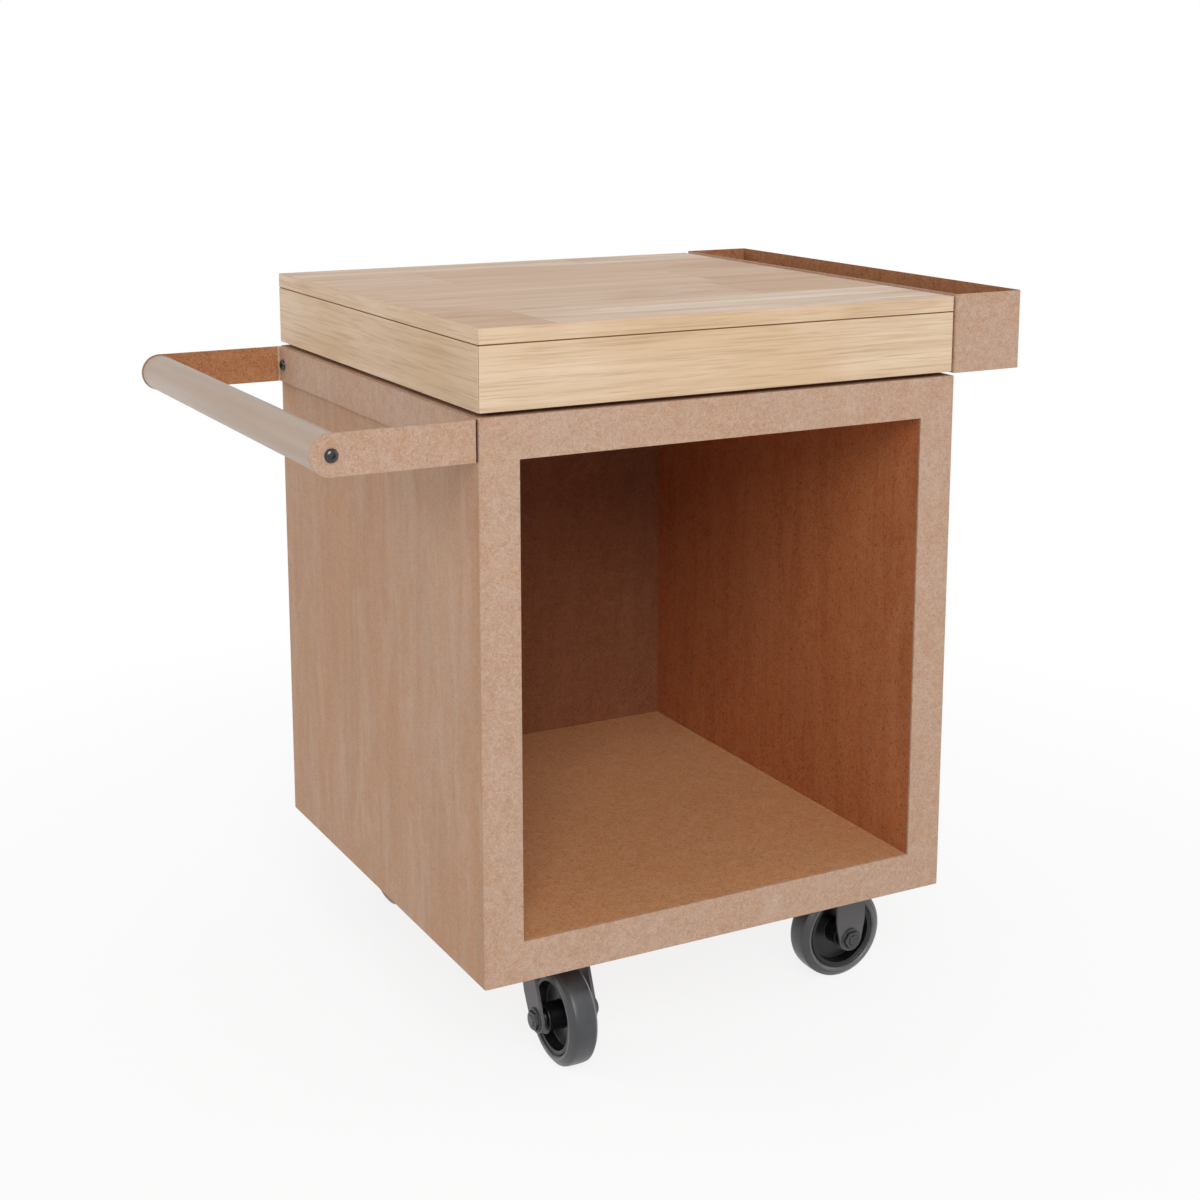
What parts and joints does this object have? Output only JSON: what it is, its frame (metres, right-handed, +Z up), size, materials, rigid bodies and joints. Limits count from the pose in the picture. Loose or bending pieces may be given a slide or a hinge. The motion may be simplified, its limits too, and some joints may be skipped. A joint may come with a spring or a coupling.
{
  "type": "patio prep table",
  "caption": "Wheeled patio prep table: rusted-steel cabinet with an open front, wooden top, push handle, planter trough, two swivel and two fixed casters.",
  "frame": {"origin": "on the floor, under the middle of the whole table's plan", "axes": "+Z up; +X to the right as seen from the open front, from the push handle towards the planter; +Y from the open front to the back"},
  "size_m": [0.9466, 0.6646, 0.9215],
  "materials": {
    "weathered_steel": "matt rusted patina",
    "liner_steel": "matt rusted patina, redder in the shade",
    "frame_wood": "satin oiled",
    "board_wood": "satin oiled",
    "grip_wood": "smooth satin",
    "black_steel": "blackened, semi-gloss",
    "fork_paint": "dark semi-matt paint",
    "core_plastic": "moulded matt",
    "tyre_rubber": "smooth moulded rubber",
    "spacer_plastic": "moulded matt"
  },
  "bodies": {
    "table": {"front_frame": "weathered_steel", "left_side_panel": "weathered_steel", "right_side_panel": "weathered_steel", "back_panel": "weathered_steel", "top_panel": "weathered_steel", "base_plate": "weathered_steel", "liner_floor": "liner_steel", "liner_ceiling": "liner_steel", "liner_left_wall": "liner_steel", "liner_right_wall": "liner_steel", "handle_bracket": "weathered_steel", "handle_grip": "grip_wood", "grip_bolt_front": "black_steel", "grip_bolt_rear": "black_steel", "bracket_bolt_front": "black_steel", "bracket_bolt_rear": "black_steel", "top_spacer_front": "spacer_plastic", "top_spacer_rear": "spacer_plastic", "top_frame_front": "frame_wood", "top_frame_rear": "frame_wood", "top_frame_left": "frame_wood", "top_frame_right": "frame_wood", "corner_block_front_left": "frame_wood", "corner_block_front_right": "frame_wood", "corner_block_rear_left": "frame_wood", "corner_block_rear_right": "frame_wood", "planter_trough": "weathered_steel", "planter_spacer_front": "spacer_plastic", "planter_spacer_rear": "spacer_plastic", "planter_bolt_front": "black_steel", "planter_bolt_rear": "black_steel", "front_left_caster_plate": "fork_paint", "front_right_caster_plate": "fork_paint", "rear_left_caster_plate": "fork_paint", "rear_right_caster_plate": "fork_paint", "front_right_fork": "fork_paint", "front_right_axle_bolt": "black_steel", "front_right_axle_nut": "black_steel", "rear_right_fork": "fork_paint", "rear_right_axle_bolt": "black_steel", "rear_right_axle_nut": "black_steel"},
    "board": {"cutting_board": "board_wood", "board_batten_left": "board_wood", "board_batten_right": "board_wood"},
    "front_left_swivel": {"front_left_fork": "fork_paint", "front_left_axle_bolt": "black_steel", "front_left_axle_nut": "black_steel"},
    "front_left_wheel": {"front_left_wheel_core": "core_plastic", "front_left_tyre": "tyre_rubber"},
    "front_right_wheel": {"front_right_wheel_core": "core_plastic", "front_right_tyre": "tyre_rubber"},
    "rear_left_swivel": {"rear_left_fork": "fork_paint", "rear_left_axle_bolt": "black_steel", "rear_left_axle_nut": "black_steel"},
    "rear_left_wheel": {"rear_left_wheel_core": "core_plastic", "rear_left_tyre": "tyre_rubber"},
    "rear_right_wheel": {"rear_right_wheel_core": "core_plastic", "rear_right_tyre": "tyre_rubber"}
  },
  "joints": [
    {"name": "board_lift", "type": "slide", "parent": "table", "child": "board", "axis": [0, 0, 1], "range_m": [0, 0.12]},
    {"name": "front_left_swivel_turn", "type": "hinge", "parent": "table", "child": "front_left_swivel", "pos_m": [-0.14625, -0.2225, 0.14], "axis": [0, 0, 1], "continuous": true},
    {"name": "front_left_wheel_turn", "type": "hinge", "parent": "front_left_swivel", "child": "front_left_wheel", "pos_m": [-0.14625, -0.267, 0.0625], "axis": [1, 0, 0], "continuous": true},
    {"name": "front_right_wheel_turn", "type": "hinge", "parent": "table", "child": "front_right_wheel", "pos_m": [0.28425, -0.2225, 0.0625], "axis": [0, 1, 0], "continuous": true},
    {"name": "rear_left_swivel_turn", "type": "hinge", "parent": "table", "child": "rear_left_swivel", "pos_m": [-0.14625, 0.2225, 0.14], "axis": [0, 0, 1], "continuous": true},
    {"name": "rear_left_wheel_turn", "type": "hinge", "parent": "rear_left_swivel", "child": "rear_left_wheel", "pos_m": [-0.14625, 0.267, 0.0625], "axis": [1, 0, 0], "continuous": true},
    {"name": "rear_right_wheel_turn", "type": "hinge", "parent": "table", "child": "rear_right_wheel", "pos_m": [0.28425, 0.2225, 0.0625], "axis": [0, 1, 0], "continuous": true}
  ]
}
